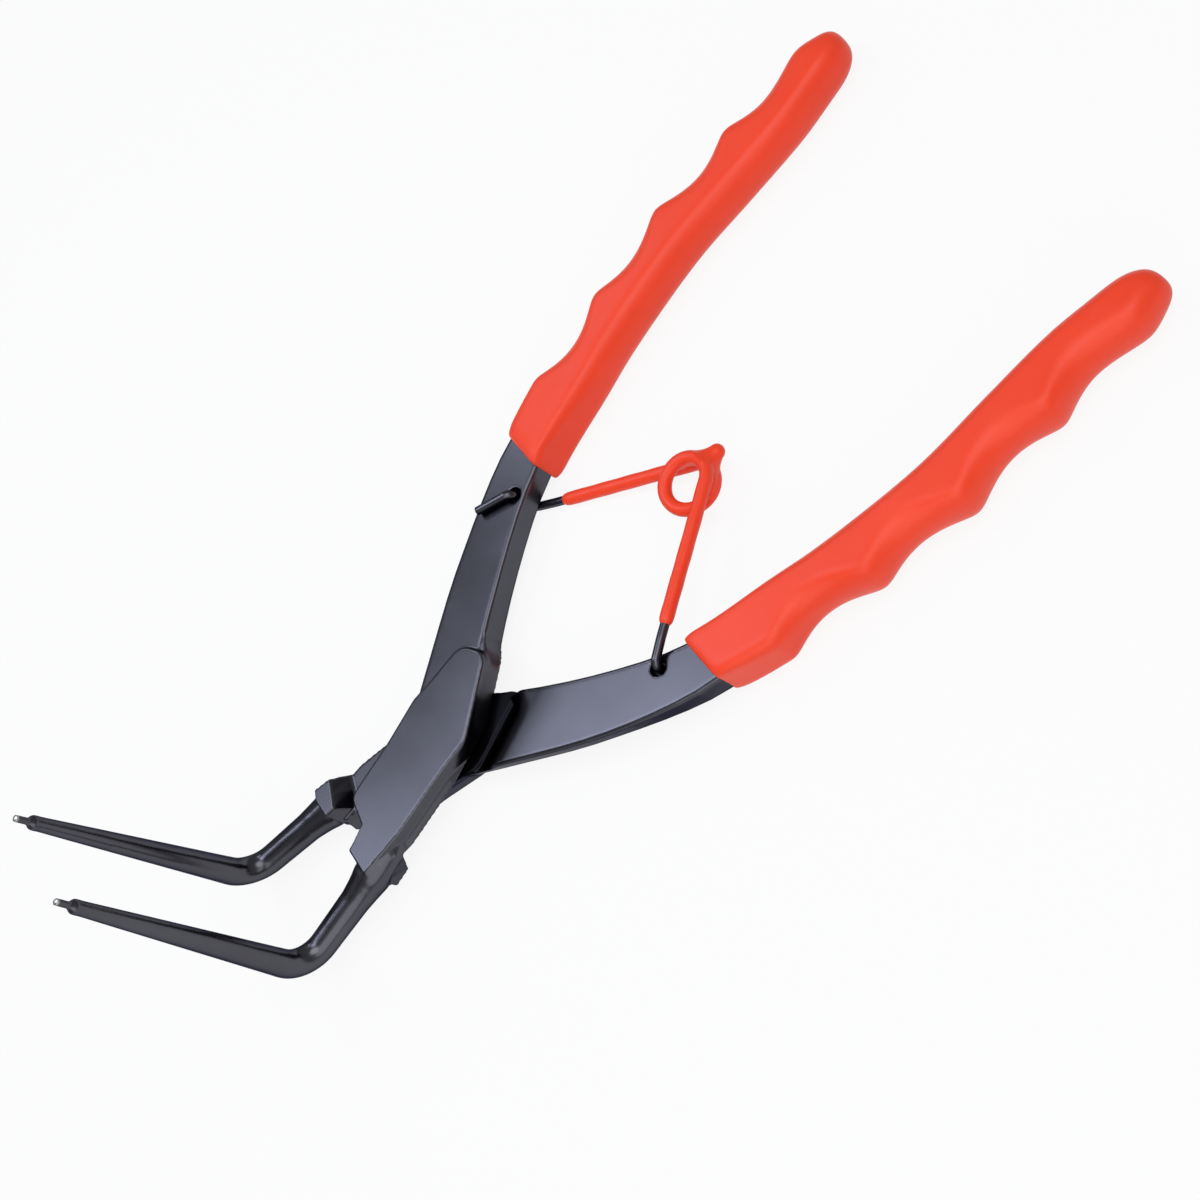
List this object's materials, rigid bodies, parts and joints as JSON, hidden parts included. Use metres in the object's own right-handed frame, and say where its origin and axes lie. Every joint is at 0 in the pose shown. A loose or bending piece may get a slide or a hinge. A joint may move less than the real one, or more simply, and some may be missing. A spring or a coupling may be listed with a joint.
{
  "type": "circlip pliers",
  "caption": "Circlip pliers with slender noses bent at a right angle, a lapped rivet joint, dipped finger-groove grips and a wire spring between the handles.",
  "frame": {"origin": "on the pivot axis, at the flat back face of the joint", "axes": "+Y from the joint to the handle ends, +Z to the front, where the tips point, +X to the right handle"},
  "size_m": [0.111, 0.2262, 0.0754],
  "materials": {
    "black_steel": "satin",
    "spring_wire": "satin",
    "dipped_plastic": "satin"
  },
  "bodies": {
    "front": {"front_lever": "black_steel", "pivot_rivet": "black_steel", "left_grip": "dipped_plastic"},
    "rear": {"rear_lever": "black_steel", "right_grip": "dipped_plastic"},
    "spring_coil_side": {"spring_coil": "spring_wire", "coil_coating": "dipped_plastic"},
    "spring_free_side": {"spring_leg": "spring_wire", "leg_coating": "dipped_plastic"}
  },
  "joints": [
    {"name": "handle_pivot", "type": "hinge", "parent": "front", "child": "rear", "pos_m": [0, 0, 0.0049], "axis": [0, 0, 1], "range_deg": [0, 19], "stiffness_Nm_per_rad": 2},
    {"name": "spring_anchor", "type": "hinge", "parent": "front", "child": "spring_coil_side", "pos_m": [-0.02958, 0.0492, 0.0049], "axis": [0, 0, 1], "range_deg": [0, 23.75]},
    {"name": "spring_twist", "type": "hinge", "parent": "spring_coil_side", "child": "spring_free_side", "pos_m": [0.0013, 0.0785, 0.0049], "axis": [0, 0, 1], "range_deg": [-30.18, 0]}
  ],
  "couplings": [
    {"joint": "spring_anchor", "follows": "handle_pivot", "ratio": 1.2498},
    {"joint": "spring_twist", "follows": "handle_pivot", "ratio": -1.588}
  ]
}
